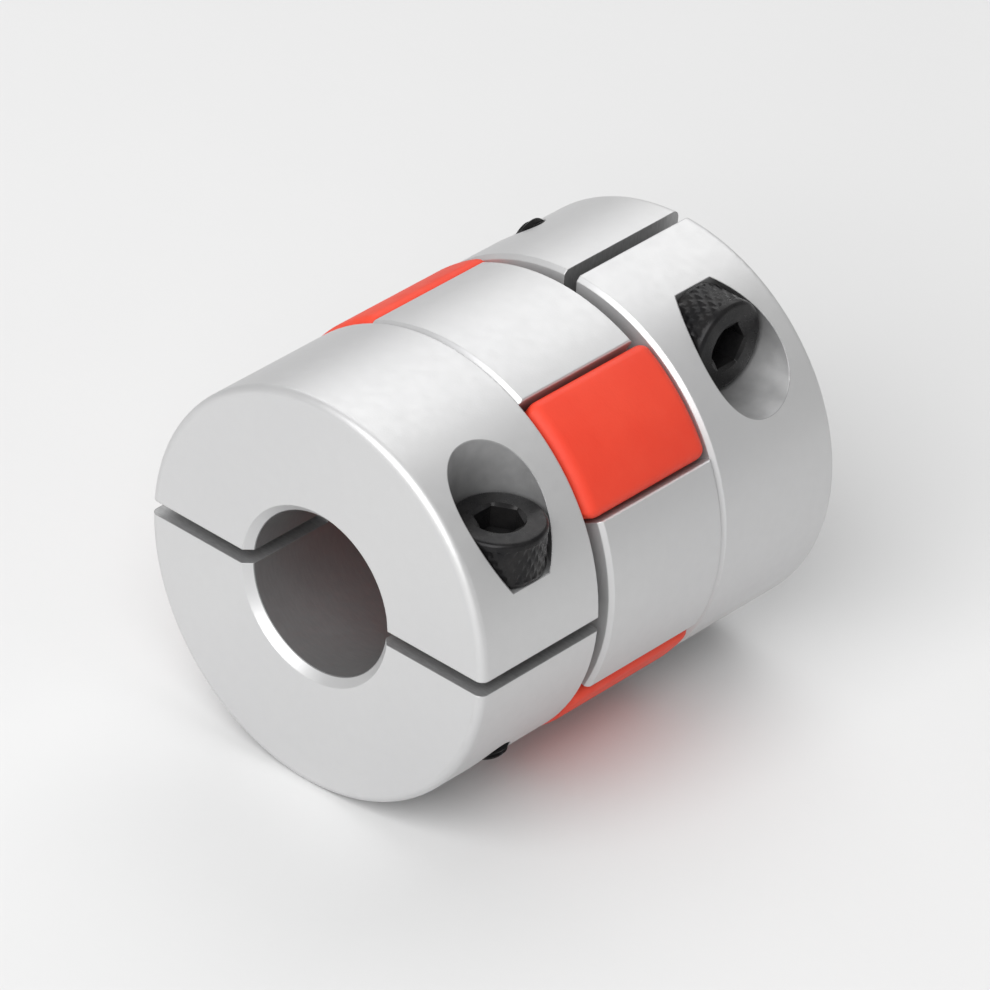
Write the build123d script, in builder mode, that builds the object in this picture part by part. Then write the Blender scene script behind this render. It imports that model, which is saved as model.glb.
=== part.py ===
"""Jaw coupling with clamp hubs, in millimetres.

The coupling lies with its axis along +Y and its front end facing -Y; +Z is up.
The origin is on the axis, half way along the coupling.
"""
from math import radians, tan
import os

from build123d import *

# Envelope
outer_diameter = 25.0
overall_length = 30.0
bore_diameter = 10.0
bore_chamfer = 0.5
face_edge_radius = 0.5

# Hub bodies and their jaws: two jaws on each hub, four spider teeth between them
body_length = 9.8
jaw_tip_gap = 0.9
jaw_angle = 53.0
jaw_inner_diameter = 14.4
jaw_edge_chamfer = 0.1
jaw_tip_chamfer = 0.25
root_groove = 0.25

# Clamp slit: right through on the screw's side, blind on the other side as the hinge
slit_width = 0.9
hinge_slit_depth = 6.5

# Clamp screw, M3 x 12 socket head at the long end of its tolerance, set across the slit
screw_offset = 9.0
screw_from_face = 4.6
screw_seat_height = 4.6
screw_diameter = 3.0
screw_length = 12.3
screw_tip_chamfer = 0.25
head_diameter = 5.5
head_height = 3.0
head_edge_radius = 0.3
socket_across_flats = 2.5
socket_depth = 1.5
pocket_diameter = 6.0
clearance_hole_diameter = 3.4
thread_play = 0.05

# Elastomer spider
spider_hole_diameter = 10.4
spider_ring_diameter = 13.8
spider_ring_length = 9.8
tooth_length = 10.2
tooth_stands_proud = 0.15
tooth_edge_radius = 0.65
wind_up_play = 1.1

# Derived values
outer_radius = outer_diameter / 2
front_face = -overall_length / 2
body_end = front_face + body_length
jaw_tip = -body_end - jaw_tip_gap
tooth_angle = 90 - jaw_angle - 2 * wind_up_play
screw_y = front_face + screw_from_face


def across(y):
    """Plane across the axis at y, with its local x along +X and its local y along +Z."""
    return Plane.XZ.offset(-y)


def wedge(centre_angle, full_angle, mode=Mode.ADD):
    """Triangle from the axis to beyond the hub, for a sketch across the axis."""
    reach = 2 * outer_radius
    half_width = reach * tan(radians(full_angle / 2))
    corners = (0, 0), (reach, -half_width), (reach, half_width)
    Polygon(*corners, rotation=centre_angle, align=None, mode=mode)


# The front hub: its jaws stand above and below the axis, and its screw crosses the slit from above
with BuildPart() as front_hub:
    with BuildSketch(Plane.XY):
        with BuildLine():
            Polyline(
                (bore_diameter / 2, front_face),
                (outer_radius, front_face),
                (outer_radius, body_end - root_groove),
                (outer_radius - root_groove, body_end),
                (outer_radius, body_end + root_groove),
                (outer_radius, jaw_tip - jaw_tip_chamfer),
                (outer_radius - jaw_tip_chamfer, jaw_tip),
                (jaw_inner_diameter / 2, jaw_tip),
                (jaw_inner_diameter / 2, body_end),
                (bore_diameter / 2, body_end),
                close=True,
            )
        section = make_face()
        face_corners = section.vertices().group_by(Axis.Y)[0].sort_by(Axis.X)
        chamfer(face_corners[0], bore_chamfer)
        fillet(face_corners[-1], face_edge_radius)
    revolve(axis=Axis.Y)

    # Room for the other hub's jaws and the spider's teeth, on both sides
    with BuildSketch(across(body_end)):
        for side in (0, 180):
            wedge(side, 180 - jaw_angle)
    extrude(amount=overall_length, dir=(0, 1, 0), mode=Mode.SUBTRACT)
    jaw_edges = front_hub.edges().filter_by(Axis.Y).filter_by_position(Axis.Y, body_end, jaw_tip)
    chamfer(jaw_edges, jaw_edge_chamfer)

    # The slit through the screw's side, and the blind slit that makes the hinge
    with BuildSketch(Plane.XY):
        with Locations((0, front_face)):
            Rectangle(outer_diameter, 2 * body_length, align=(Align.MIN, Align.CENTER))
            Rectangle(outer_diameter, 2 * hinge_slit_depth, align=(Align.MAX, Align.CENTER))
    extrude(amount=slit_width / 2, both=True, mode=Mode.SUBTRACT)

    # The screw's pocket and clearance hole above the slit, and its thread below
    with Locations((screw_offset, screw_y, outer_radius)):
        CounterBoreHole(
            radius=clearance_hole_diameter / 2,
            counter_bore_radius=pocket_diameter / 2,
            counter_bore_depth=outer_radius - screw_seat_height,
            depth=outer_radius,
        )
    with Locations((screw_offset, screw_y, 0)):
        Hole(radius=screw_diameter / 2 + thread_play, depth=outer_radius)

# The front clamp screw, head up
with BuildPart() as front_clamp_screw:
    with BuildSketch(Plane.XY.offset(screw_seat_height)):
        with Locations((screw_offset, screw_y)):
            Circle(head_diameter / 2)
    extrude(amount=head_height)
    fillet(front_clamp_screw.edges().group_by(Axis.Z)[-1], head_edge_radius)
    with BuildSketch(Plane.XY.offset(screw_seat_height)):
        with Locations((screw_offset, screw_y)):
            Circle(screw_diameter / 2)
    extrude(amount=-screw_length)
    chamfer(front_clamp_screw.edges().group_by(Axis.Z)[0], screw_tip_chamfer)
    with BuildSketch(Plane.XY.offset(screw_seat_height + head_height)):
        with Locations((screw_offset, screw_y)):
            RegularPolygon(socket_across_flats / 2, 6, major_radius=False)
    extrude(amount=-socket_depth, mode=Mode.SUBTRACT)

# The spider: a ring with four teeth, which stand in the gaps between the jaws
with BuildPart() as spider:
    with BuildSketch(across(0)) as teeth:
        for tooth_centre in (45, 135, 225, 315):
            wedge(tooth_centre, tooth_angle)
        Circle(outer_radius + tooth_stands_proud, mode=Mode.INTERSECT)
    extrude(amount=tooth_length / 2, both=True)
    tooth_ends = spider.faces().filter_by(GeomType.CYLINDER)
    fillet(tooth_ends.edges(), tooth_edge_radius)
    with BuildSketch(across(0)):
        Circle(spider_ring_diameter / 2)
    extrude(amount=spider_ring_length / 2, both=True)
    with BuildSketch(across(0)):
        Circle(spider_hole_diameter / 2)
    extrude(amount=overall_length, both=True, mode=Mode.SUBTRACT)

# The rear hub and its screw are the same parts, turned half a turn about the 45 degree line
turned_about = Axis((0, 0, 0), (1, 0, 1))
with BuildPart() as rear_hub:
    add(front_hub.part.rotate(turned_about, 180))
with BuildPart() as rear_clamp_screw:
    add(front_clamp_screw.part.rotate(turned_about, 180))

pieces = {
    "front_hub": front_hub,
    "rear_hub": rear_hub,
    "spider": spider,
    "front_clamp_screw": front_clamp_screw,
    "rear_clamp_screw": rear_clamp_screw,
}
os.makedirs("parts", exist_ok=True)
for name, piece in pieces.items():
    piece.part.label = name
    export_step(piece.part, f"parts/{name}.step")
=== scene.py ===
"""Looks for the jaw coupling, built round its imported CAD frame, in metres.

The coupling's axis is +Y, the front hub faces -Y and +Z is up, as in the CAD.
"""

import math

import bmesh
import bpy
from mathutils import Matrix, Vector


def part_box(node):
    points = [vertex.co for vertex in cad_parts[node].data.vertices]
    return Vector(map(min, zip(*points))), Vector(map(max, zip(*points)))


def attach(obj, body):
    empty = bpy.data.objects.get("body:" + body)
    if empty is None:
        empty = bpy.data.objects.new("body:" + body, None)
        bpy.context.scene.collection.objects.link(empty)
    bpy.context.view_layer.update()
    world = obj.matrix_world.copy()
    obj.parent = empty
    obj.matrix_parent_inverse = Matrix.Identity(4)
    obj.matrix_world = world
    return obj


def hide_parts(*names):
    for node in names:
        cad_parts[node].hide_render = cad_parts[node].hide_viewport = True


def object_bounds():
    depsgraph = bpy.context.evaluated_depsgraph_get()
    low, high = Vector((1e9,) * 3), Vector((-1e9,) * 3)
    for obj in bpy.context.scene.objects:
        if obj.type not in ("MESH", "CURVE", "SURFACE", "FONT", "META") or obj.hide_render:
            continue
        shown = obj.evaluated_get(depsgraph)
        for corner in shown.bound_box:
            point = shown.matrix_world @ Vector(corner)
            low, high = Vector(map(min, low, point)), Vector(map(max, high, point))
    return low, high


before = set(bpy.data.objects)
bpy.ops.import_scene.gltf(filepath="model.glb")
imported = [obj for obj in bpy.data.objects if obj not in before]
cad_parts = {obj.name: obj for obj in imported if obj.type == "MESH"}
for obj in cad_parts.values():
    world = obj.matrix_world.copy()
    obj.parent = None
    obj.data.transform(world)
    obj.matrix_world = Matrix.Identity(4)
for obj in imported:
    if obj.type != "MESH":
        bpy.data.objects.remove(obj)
cad_low, cad_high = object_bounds()

MM = 0.001

# The camera stands where the photographed coupling was seen from, and its lens fills the frame
VIEW_AZIMUTH = math.radians(39.5)
VIEW_ELEVATION = math.radians(33.4)
VIEW_ROLL = math.radians(4.3)
VIEW_DISTANCE = 465 * MM
LENS_MM = 300
SENSOR_MM = 36

# Clamp screw: its shank, with the thread's height as a share of its depth along each half pitch
SHANK_RADIUS = 1.5 * MM
TIP_CHAMFER = 0.25 * MM
THREAD_PITCH = 0.5 * MM
THREAD_DEPTH = 0.3 * MM
THREAD_STEEPNESS = 2.6
THREAD_ROOT_SHARE = 0.15
THREAD_STEPS = 6

# Clamp screw: its head, which stands a hair off its seat so that their faces don't coincide
HEAD_HEIGHT = 3.0 * MM
HEAD_ROUNDING = 0.3 * MM
ROUNDING_STEPS = 5
SEAT_CLEARANCE = 0.01 * MM
SHANK_FILLET = 0.1 * MM
LOWER_EDGE = ((SEAT_CLEARANCE, 0.25 * MM), (0.12 * MM, 0.06 * MM))  # heights and insets
KNURL_COUNT = 30
KNURL_DEPTH = 0.08 * MM
KNURL_ROWS = 4
KNURL_START = 0.45 * MM
KNURL_END = 2.45 * MM
KNURL_RUN_OUT = 0.1 * MM
SAMPLES_PER_KNURL = 6
SCREW_CREASE = 25

# Clamp screw: its hex socket, whose floor is the end of a drilled hole
SOCKET_FLATS = 2.5 * MM
SOCKET_DEPTH = 1.5 * MM
LEAD_IN_WIDTH = 0.08 * MM
LEAD_IN_DEPTH = 0.14 * MM
LEAD_IN_MARGIN = 0.12 * MM
DRILL_CONE = ((0.02 * MM, 1.0 * MM), (0.35 * MM, 0.2 * MM))  # depths below the walls and radii

# Hub surfaces. JUST is how far past a surface its mask reaches.
BORE_RADIUS = 5.0 * MM
SLIT_WIDTH = 0.9 * MM
HINGE_SLIT_END = 8.5 * MM
POCKET_RADIUS = 3.0 * MM
JUST = 0.04 * MM

# Spider: its teeth
TOOTH_HALF_ANGLE = math.radians(17.4)
TOOTH_PROUD = 0.13 * MM
TOOTH_EDGE = 0.9 * MM
TOOTH_CORNER = 0.56 * MM
SHARPEST_CORNER = 0.05 * MM
FLANK_CROWN = 0.04 * MM
ROOT_FILLET = 0.6 * MM
ROOT_FILLET_RISE = 0.6
EDGE_STEPS = 6
FLANK_STEPS = 12
CORNER_STEPS = 8
TIP_STEPS = 16

# Spider: its ring, which ends in a recess a little inside the teeth's ends
RING_RADIUS = 6.9 * MM
RING_STEPS = 10
RING_RECESS = 0.25 * MM
RECESS_RADIUS = 7.3 * MM
HOLE_RADIUS = 5.2 * MM
HOLE_CHAMFER = 0.3 * MM
HOLE_SIDES = 96
SPIDER_CREASE = 32


# ---------------------------------------------------------------- materials

class Nodes:
    """Short hand for building one material's node tree."""

    def __init__(self, name):
        self.material = bpy.data.materials.new(name)
        self.material.use_nodes = True
        self.tree = self.material.node_tree
        self.shader = self.tree.nodes["Principled BSDF"]
        self.place = self.add("ShaderNodeTexCoord").outputs["Object"]

    def add(self, kind, **settings):
        node = self.tree.nodes.new(kind)
        for key, value in settings.items():
            setattr(node, key, value)
        return node

    def link(self, source, target):
        self.tree.links.new(source, target)

    def noise(self, per_mm, detail=2.0, stretch=(1, 1, 1)):
        """Noise with that many cells in a millimetre.

        A stretch factor below the others draws the cells out along its axis.
        """
        scale = self.add("ShaderNodeMapping")
        scale.inputs["Scale"].default_value = [per_mm / MM * s for s in stretch]
        noise = self.add("ShaderNodeTexNoise")
        noise.inputs["Scale"].default_value = 1.0
        noise.inputs["Detail"].default_value = detail
        self.link(self.place, scale.inputs["Vector"])
        self.link(scale.outputs["Vector"], noise.inputs["Vector"])
        return noise.outputs["Fac"]

    def spread(self, value, low, high):
        """value, from 0 to 1, spread over low to high; noise fills the middle of that range."""
        ramp = self.add("ShaderNodeMapRange")
        ramp.inputs["From Min"].default_value = 0.3
        ramp.inputs["From Max"].default_value = 0.7
        ramp.inputs["To Min"].default_value = low
        ramp.inputs["To Max"].default_value = high
        self.link(value, ramp.inputs["Value"])
        return ramp.outputs["Result"]

    def mix(self, share, low, high):
        """From low to high as share goes from 0 to 1; each is a colour or another mix's output."""
        mix = self.add("ShaderNodeMix", data_type="RGBA")
        self.link(share, mix.inputs["Factor"])
        for name, colour in (("A", low), ("B", high)):
            if isinstance(colour, tuple):
                mix.inputs[name].default_value = (*colour, 1)
            else:
                self.link(colour, mix.inputs[name])
        return mix.outputs["Result"]

    def colours(self, share, low, high):
        self.link(self.mix(share, low, high), self.shader.inputs["Base Color"])

    def math(self, operation, first, second=0.0):
        """A math node; each input is a number or another node's output."""
        node = self.add("ShaderNodeMath", operation=operation)
        for socket, value in zip(node.inputs, (first, second)):
            if isinstance(value, float):
                socket.default_value = value
            else:
                self.link(value, socket)
        return node.outputs["Value"]

    def length(self, first, second):
        squares = [self.math("POWER", value, 2.0) for value in (first, second)]
        return self.math("SQRT", self.math("ADD", *squares))

    def coordinates(self):
        """Signed distances from the coupling's centre along X, Y and Z."""
        split = self.add("ShaderNodeSeparateXYZ")
        self.link(self.place, split.inputs["Vector"])
        return split.outputs["X"], split.outputs["Y"], split.outputs["Z"]

    def roughness(self, value, low, high):
        self.link(self.spread(value, low, high), self.shader.inputs["Roughness"])

    def bump(self, height, depth_mm, before=None):
        bump = self.add("ShaderNodeBump")
        bump.inputs["Strength"].default_value = 1.0
        bump.inputs["Distance"].default_value = depth_mm * MM
        self.link(height, bump.inputs["Height"])
        if before:
            self.link(before, bump.inputs["Normal"])
        return bump.outputs["Normal"]

    def finish(self, normal, **constants):
        self.link(normal, self.shader.inputs["Normal"])
        for socket, value in constants.items():
            self.shader.inputs[socket.replace("_", " ")].default_value = value
        return self.material


def anodised_aluminium(name, across_slit, screw_side, screw_box):
    """Fine bead-blasted aluminium under clear anodising, with painted shade: the bore, the slit
    and the screw pockets are painted darker than the outside.

    across_slit and screw_side are the axes, 0 for X and 2 for Z, that lead across the hub's slit
    and from the coupling's axis to its clamp screw.
    """
    screw_low, screw_high = screw_box
    screw_centre = (screw_low + screw_high) / 2
    seat = screw_high[across_slit] - HEAD_HEIGHT
    m = Nodes(name)
    round_marks = (1, 4, 1)
    clouds = m.spread(m.noise(0.05, 2), 0, 1)
    outside = m.mix(clouds, (0.60, 0.60, 0.605), (0.63, 0.63, 0.63))
    # Painted shade: the bore is painted far darker than the outside to stand in for the shade
    # inside it, and reamer marks vary its tone
    reamer_marks = m.spread(m.noise(1.5, 2, round_marks), 0, 1)
    bore_shade_and_marks = m.mix(reamer_marks, (0.26, 0.26, 0.262), (0.28, 0.28, 0.281))
    # Painted shade: the slit's walls are painted darker to stand in for the shade between them,
    # and saw marks vary their tone
    saw_marks = m.spread(m.noise(2.0, 2, round_marks), 0, 1)
    slit_shade_and_marks = m.mix(saw_marks, (0.32, 0.32, 0.323), (0.40, 0.40, 0.402))
    # Painted shade: the screw pockets are painted darker to stand in for the shade inside them,
    # and cutter marks vary their tone
    cutter_marks = m.spread(m.noise(1.0, 2), 0, 1)
    pocket_shade_and_marks = m.mix(cutter_marks, (0.36, 0.36, 0.363), (0.42, 0.42, 0.422))
    place = m.coordinates()
    in_bore = m.math("LESS_THAN", m.length(place[0], place[2]), BORE_RADIUS + JUST)
    # The slit reaches the bore's far side only near the mouth
    off_middle = m.math("ABSOLUTE", place[across_slit])
    between_walls = m.math("LESS_THAN", off_middle, SLIT_WIDTH / 2 + JUST / 4)
    by_screw = m.math("GREATER_THAN", place[screw_side], 0.0)
    by_mouth = m.math("GREATER_THAN", m.math("ABSOLUTE", place[1]), HINGE_SLIT_END - JUST)
    in_slit = m.math("MULTIPLY", between_walls, m.math("MAXIMUM", by_screw, by_mouth))
    from_screw = m.length(
        m.math("SUBTRACT", place[screw_side], screw_centre[screw_side]),
        m.math("SUBTRACT", place[1], screw_centre[1]),
    )
    round_screw = m.math("LESS_THAN", from_screw, POCKET_RADIUS + JUST)
    above_seat = m.math("GREATER_THAN", place[across_slit], seat - JUST)
    in_pocket = m.math("MULTIPLY", round_screw, above_seat)
    m.colours(in_pocket, m.mix(in_slit, m.mix(in_bore, outside, bore_shade_and_marks), slit_shade_and_marks), pocket_shade_and_marks)
    m.roughness(m.noise(1.5, 4), 0.42, 0.50)
    edge = m.add("ShaderNodeBevel", samples=6)
    edge.inputs["Radius"].default_value = 0.10 * MM
    grain = m.bump(m.noise(9, 2), 0.004, edge.outputs["Normal"])
    return m.finish(grain, Metallic=0.6)


def red_polyurethane():
    """Moulded polyurethane with a satin skin."""
    m = Nodes("red_polyurethane")
    m.colours(m.spread(m.noise(0.25, 3), 0, 1), (0.74, 0.050, 0.022), (0.78, 0.064, 0.030))
    m.roughness(m.noise(1.2, 3), 0.50, 0.60)
    ripple = m.bump(m.noise(0.8, 2), 0.02)
    grain = m.bump(m.noise(8, 3), 0.008, ripple)
    return m.finish(
        grain, Subsurface_Weight=0.15, Subsurface_Scale=0.8 * MM, Specular_IOR_Level=0.35
    )


def black_oxide_steel():
    """Alloy steel with a thin oiled black oxide, worn a little lighter here and there."""
    m = Nodes("black_oxide_steel")
    m.colours(m.spread(m.noise(0.9, 4), 0, 1), (0.010, 0.010, 0.011), (0.024, 0.023, 0.023))
    m.roughness(m.noise(2.5, 4), 0.24, 0.38)
    grain = m.bump(m.noise(10, 3), 0.004)
    return m.finish(grain, Metallic=0.35, Specular_IOR_Level=0.2)


def paint(obj, material):
    obj.data.materials.clear()
    obj.data.materials.append(material)


# ---------------------------------------------------------------- meshes

def loft(name, rings, cap_loops=None):
    """Closed mesh through rings of equally many points.

    cap_loops splits both end faces into polygons, each a list of positions on the ring. Without
    it an end face is one polygon.
    """
    mesh = bpy.data.meshes.new(name)
    bm = bmesh.new()
    rows = [[bm.verts.new(p) for p in ring] for ring in rings]
    count = len(rows[0])
    for lower, upper in zip(rows, rows[1:]):
        for i in range(count):
            j = (i + 1) % count
            bm.faces.new((lower[i], lower[j], upper[j], upper[i]))
    caps = []
    for loop in cap_loops or [range(count)]:
        caps.append(bm.faces.new([rows[0][i] for i in reversed(loop)]))
        caps.append(bm.faces.new([rows[-1][i] for i in loop]))
    bmesh.ops.triangulate(bm, faces=caps)
    bmesh.ops.recalc_face_normals(bm, faces=bm.faces)
    bm.to_mesh(mesh)
    bm.free()
    obj = bpy.data.objects.new(name, mesh)
    bpy.context.scene.collection.objects.link(obj)
    return obj


def smooth_below(obj, degrees):
    """Smooth shading, with a crease where faces meet at more than that angle."""
    obj.data.shade_smooth()
    obj.data.set_sharp_from_angle(angle=math.radians(degrees))


def screw_rings():
    """Rings of a knurled M3 cap screw, from its tip at the bottom to the floor of its socket.

    The screw stands on z = 0 with its head's seat there and its shank below.
    """
    samples = KNURL_COUNT * SAMPLES_PER_KNURL
    turns = [i / samples for i in range(samples)]

    def ring(z, radius_at):
        points = []
        for turn in turns:
            radius = radius_at(turn)
            angle = math.tau * turn
            points.append((radius * math.cos(angle), radius * math.sin(angle), z))
        return points

    def thread_radius(z, turn):
        """A thread of about 60 degrees: flat crest, slope, flat root and slope in each pitch."""
        phase = (z / THREAD_PITCH - turn) % 1.0
        from_root = 0.5 - abs(phase - 0.5)
        height = min(max(from_root * THREAD_STEEPNESS - THREAD_ROOT_SHARE, 0.0), 1.0)
        radius = SHANK_RADIUS - THREAD_DEPTH * (1.0 - height)
        to_tip = z + screw_length
        chamfered = SHANK_RADIUS - TIP_CHAMFER + to_tip
        return min(radius, chamfered)

    def knurl(turn, row):
        """Two sets of grooves that cross at a slant."""
        slants = [(turn * KNURL_COUNT + way * row) % 1.0 for way in (-1, 1)]
        return KNURL_DEPTH * max(abs(slant - 0.5) * 2 for slant in slants)

    def hexagon(turn):
        to_flat = (turn * 6 + 0.5) % 1.0 - 0.5
        return SOCKET_FLATS / 2 / math.cos(to_flat * math.tau / 6)

    head_radius = head_diameter / 2
    rings = []
    steps = THREAD_STEPS * round(screw_length / THREAD_PITCH)
    for step in range(steps + 1):
        z = -screw_length + screw_length * step / steps
        rings.append(ring(z, lambda turn: thread_radius(z, turn)))
    # Under the head: a small fillet, the seat, and its broken edge
    rings.append(ring(SEAT_CLEARANCE, lambda turn: SHANK_RADIUS + SHANK_FILLET))
    for z, inset in LOWER_EDGE:
        rings.append(ring(z, lambda turn: head_radius - inset))
    # The knurled side, between two plain bands
    rings.append(ring(KNURL_START - KNURL_RUN_OUT, lambda turn: head_radius))
    steps = KNURL_ROWS * SAMPLES_PER_KNURL
    for step in range(steps + 1):
        z = KNURL_START + (KNURL_END - KNURL_START) * step / steps
        row = step / SAMPLES_PER_KNURL / 2
        rings.append(ring(z, lambda turn: head_radius - knurl(turn, row)))
    rings.append(ring(KNURL_END + KNURL_RUN_OUT, lambda turn: head_radius))
    # The rounded top edge
    for step in range(1, ROUNDING_STEPS + 1):
        angle = math.pi / 2 * step / ROUNDING_STEPS
        z = HEAD_HEIGHT - HEAD_ROUNDING * (1 - math.sin(angle))
        radius = head_radius - HEAD_ROUNDING * (1 - math.cos(angle))
        rings.append(ring(z, lambda turn: radius))
    # The flat top, the socket's lead-in, its six walls, and the drill's cone at the bottom
    lead_in = SOCKET_FLATS / 2 / math.cos(math.pi / 6) + LEAD_IN_WIDTH
    rings.append(ring(HEAD_HEIGHT, lambda turn: lead_in + LEAD_IN_MARGIN))
    rings.append(ring(HEAD_HEIGHT, lambda turn: lead_in))
    rings.append(ring(HEAD_HEIGHT - LEAD_IN_DEPTH, hexagon))
    rings.append(ring(HEAD_HEIGHT - SOCKET_DEPTH, hexagon))
    for depth, radius in DRILL_CONE:
        rings.append(ring(HEAD_HEIGHT - SOCKET_DEPTH - depth, lambda turn: radius))
    return rings


def clamp_screw(node, body, head_axis):
    """A detailed screw in the place of a CAD one, with its head towards +head_axis."""
    low, high = (Vector(corner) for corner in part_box(node))
    seat = (low + high) / 2
    seat[head_axis] = high[head_axis] - HEAD_HEIGHT
    screw = loft(f"{node}_detailed", screw_rings())
    turned = Matrix.Identity(4) if head_axis == 2 else Matrix.Rotation(math.pi / 2, 4, "Y")
    screw.data.transform(Matrix.Translation(seat) @ turned)
    smooth_below(screw, SCREW_CREASE)
    paint(screw, steel)
    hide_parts(node)
    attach(screw, body)


def arc(centre, radius, start, end, steps):
    """Points on an arc, as (x, z) pairs, with both ends."""
    angles = [start + (end - start) * i / steps for i in range(steps + 1)]
    return [(centre[0] + radius * math.cos(a), centre[1] + radius * math.sin(a)) for a in angles]


def tooth_outline(inset):
    """One tooth, pointing along +X, from root to root, with that much taken off all round."""
    half = TOOTH_HALF_ANGLE
    tip = outer_radius + TOOTH_PROUD - inset
    root = RING_RADIUS - inset
    corner = max(TOOTH_CORNER - inset, SHARPEST_CORNER)
    # The corner's arc touches the flank and the tip
    corner_turn = half - math.asin((corner + FLANK_CROWN + inset) / (tip - corner))
    to_centre = tip - corner
    corner_centre = (to_centre * math.cos(corner_turn), to_centre * math.sin(corner_turn))
    flank_end = to_centre * math.cos(half - corner_turn)
    flank = []
    for i in range(FLANK_STEPS):
        share = i / FLANK_STEPS
        along = root + (flank_end - root) * share
        crown = FLANK_CROWN * (1 - math.sin(math.pi * share))
        fillet_left = max(0.0, 1 - (along - root) / ROOT_FILLET)
        fillet = ROOT_FILLET_RISE * ROOT_FILLET * fillet_left ** 2
        outward = fillet - crown - inset
        x = along * math.cos(half) - outward * math.sin(half)
        z = along * math.sin(half) + outward * math.cos(half)
        flank.append((x, z))
    flank += arc(corner_centre, corner, half + math.pi / 2, corner_turn, CORNER_STEPS)
    end = arc((0, 0), tip, -corner_turn, corner_turn, TIP_STEPS)
    return [(x, -z) for x, z in flank] + end[1:-1] + flank[::-1]


def spider_outline(inset):
    """The whole outer outline: four teeth, joined by the ring's arcs."""
    tooth = tooth_outline(inset)
    gap_start = math.atan2(tooth[-1][1], tooth[-1][0])
    points = []
    for quarter in range(4):
        turn = math.radians(45 + 90 * quarter)
        cos, sin = math.cos(turn), math.sin(turn)
        points += [(x * cos - z * sin, x * sin + z * cos) for x, z in tooth]
        gap = (turn + gap_start, turn + math.pi / 2 - gap_start)
        points += arc((0, 0), RING_RADIUS - inset, *gap, RING_STEPS)[1:-1]
    return points


def spider_cap_loops():
    """The end face in simple pieces: rungs across each tooth, and the middle."""
    tooth_count = len(tooth_outline(0))
    quarter_count = len(spider_outline(0)) // 4
    loops = []
    middle = []
    for first in range(0, 4 * quarter_count, quarter_count):
        last = first + tooth_count - 1
        for i in range((tooth_count - 1) // 2):
            rung = (first + i, first + i + 1, last - i - 1, last - i)
            # The rung at the tooth's tip has only three corners
            loops.append(list(dict.fromkeys(rung)))
        middle.append(first)
        middle += range(last, first + quarter_count)
    loops.append(middle)
    return loops


def rounded_steps(half_length, rounding):
    """(y, inset) pairs along a bar whose two ends are rounded over."""
    far_end = []
    for step in range(EDGE_STEPS + 1):
        angle = math.pi / 2 * step / EDGE_STEPS
        y = half_length - rounding * (1 - math.sin(angle))
        far_end.append((y, rounding * (1 - math.cos(angle))))
    far_end.sort()
    return [(-y, inset) for y, inset in far_end[::-1]] + far_end


def bake_modifiers(obj):
    """Make what the modifiers show into the object's own mesh."""
    graph = bpy.context.evaluated_depsgraph_get()
    mesh = bpy.data.meshes.new_from_object(obj.evaluated_get(graph))
    obj.modifiers.clear()
    obj.data = mesh


def cut_away(obj, cutter):
    """Take the cutter's volume out of obj, and drop the cutter."""
    cut = obj.modifiers.new("cut", "BOOLEAN")
    cut.operation = "DIFFERENCE"
    cut.solver = "MANIFOLD"
    cut.object = cutter
    bpy.context.view_layer.update()
    bake_modifiers(obj)
    bpy.data.objects.remove(cutter)


def moulded_spider():
    """The spider with rounded teeth, and a ring that stands a little inside them at both ends."""
    low, high = (Vector(corner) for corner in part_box("spider"))
    half_length = (high.y - low.y) / 2
    rings = []
    for y, inset in rounded_steps(half_length, TOOTH_EDGE):
        rings.append([(x, y, z) for x, z in spider_outline(inset)])
    spider = loft("spider_moulded", rings, spider_cap_loops())
    # The ring's recesses and the chamfered hole: radius and y along the cut, from end to end
    ring_end = half_length - RING_RECESS
    beyond = half_length + RING_RECESS
    cut = [
        (RECESS_RADIUS, beyond),
        (RECESS_RADIUS, ring_end),
        (HOLE_RADIUS + HOLE_CHAMFER, ring_end),
        (HOLE_RADIUS, ring_end - HOLE_CHAMFER),
    ]
    cut += [(radius, -y) for radius, y in cut[::-1]]
    walls = []
    for radius, y in cut:
        circle = arc((0, 0), radius, 0, math.tau, HOLE_SIDES)[:-1]
        walls.append([(x, y, z) for x, z in circle])
    cut_away(spider, loft("recesses_and_hole", walls))
    smooth_below(spider, SPIDER_CREASE)
    paint(spider, rubber)
    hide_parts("spider")
    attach(spider, "spider")


# ---------------------------------------------------------------- the coupling

outer_radius = (cad_high.z - cad_low.z) / 2
screw_low, screw_high = (Vector(corner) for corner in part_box("front_clamp_screw"))
head_diameter = screw_high.x - screw_low.x
screw_length = screw_high.z - screw_low.z - HEAD_HEIGHT

rubber = red_polyurethane()
steel = black_oxide_steel()

for end, across_slit, screw_side in (("front", 2, 0), ("rear", 0, 2)):
    screw_box = [Vector(corner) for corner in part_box(f"{end}_clamp_screw")]
    aluminium = anodised_aluminium(f"{end}_aluminium", across_slit, screw_side, screw_box)
    paint(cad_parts[f"{end}_hub"], aluminium)
    clamp_screw(f"{end}_clamp_screw", f"{end}_screw", across_slit)
moulded_spider()


# ---------------------------------------------------------------- studio

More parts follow.
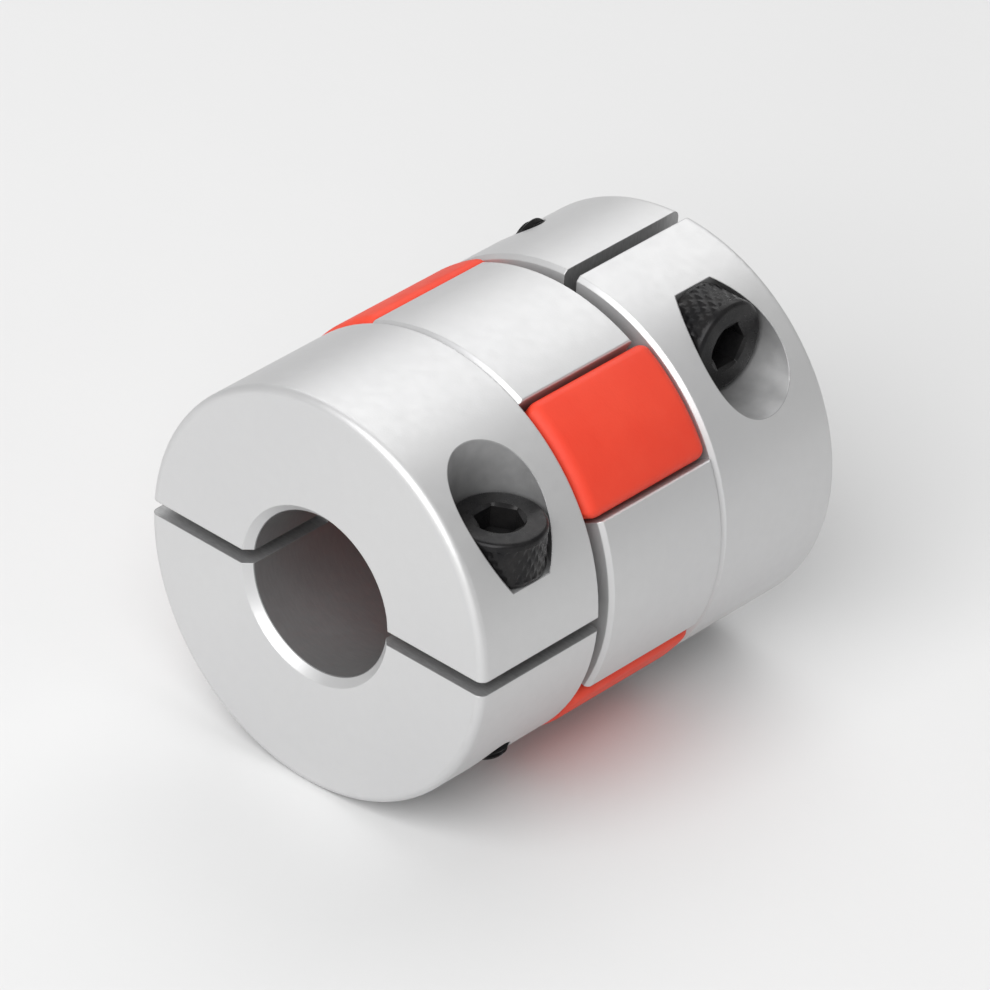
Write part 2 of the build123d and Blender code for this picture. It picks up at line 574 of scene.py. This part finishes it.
def floor(height, half_width, thickness):
    """A pale, faintly mottled table top."""
    m = Nodes("pale_floor")
    m.colours(m.spread(m.noise(0.02, 3), 0, 1), (0.70, 0.70, 0.70), (0.72, 0.72, 0.72))
    m.roughness(m.noise(0.05, 3), 0.55, 0.65)
    corners = [(x * half_width, y * half_width) for x, y in ((-1, -1), (1, -1), (1, 1), (-1, 1))]
    rings = [[(x, y, height + z) for x, y in corners] for z in (-thickness, 0)]
    table = loft("floor", rings)
    table.data.materials.append(m.finish(m.bump(m.noise(1, 2), 0.01), Specular_IOR_Level=0.1))


def softbox(name, place, size, power):
    """A square area light, aimed at the coupling."""
    light = bpy.data.lights.new(name, "AREA")
    light.size = size
    light.energy = power
    lamp = bpy.data.objects.new(name, light)
    lamp.location = place
    lamp.rotation_mode = "QUATERNION"
    lamp.rotation_quaternion = (-Vector(place)).to_track_quat("-Z", "Y")
    bpy.context.scene.collection.objects.link(lamp)


def surroundings(brightness):
    """Even white light from all round."""
    world = bpy.data.worlds.new("studio")
    world.use_nodes = True
    background = world.node_tree.nodes["Background"]
    background.inputs["Color"].default_value = (1, 1, 1, 1)
    background.inputs["Strength"].default_value = brightness
    bpy.context.scene.world = world


def camera():
    """The camera, aimed at the coupling's centre and rolled about its own line of sight."""
    lens = bpy.data.cameras.new("camera")
    lens.lens = LENS_MM
    lens.sensor_width = SENSOR_MM
    lens.clip_start = 0.01
    lens.clip_end = 10
    eye = bpy.data.objects.new("camera", lens)
    level = math.cos(VIEW_ELEVATION)
    back = Vector((
        math.sin(VIEW_AZIMUTH) * level,
        -math.cos(VIEW_AZIMUTH) * level,
        math.sin(VIEW_ELEVATION),
    ))
    eye.location = back * VIEW_DISTANCE
    upright = (-back).to_track_quat("-Z", "Y").to_matrix()
    eye.rotation_mode = "QUATERNION"
    eye.rotation_quaternion = (upright @ Matrix.Rotation(VIEW_ROLL, 3, "Z")).to_quaternion()
    bpy.context.scene.collection.objects.link(eye)
    bpy.context.scene.camera = eye


floor(cad_low.z, half_width=1.5, thickness=0.002)
softbox("highlight_behind", (-0.22, 0.34, 0.44), size=0.55, power=1.5)
softbox("key_front", (0.12, -0.45, 0.42), size=0.60, power=4.8)
surroundings(brightness=0.36)
camera()
bpy.context.scene.view_settings.view_transform = "Standard"
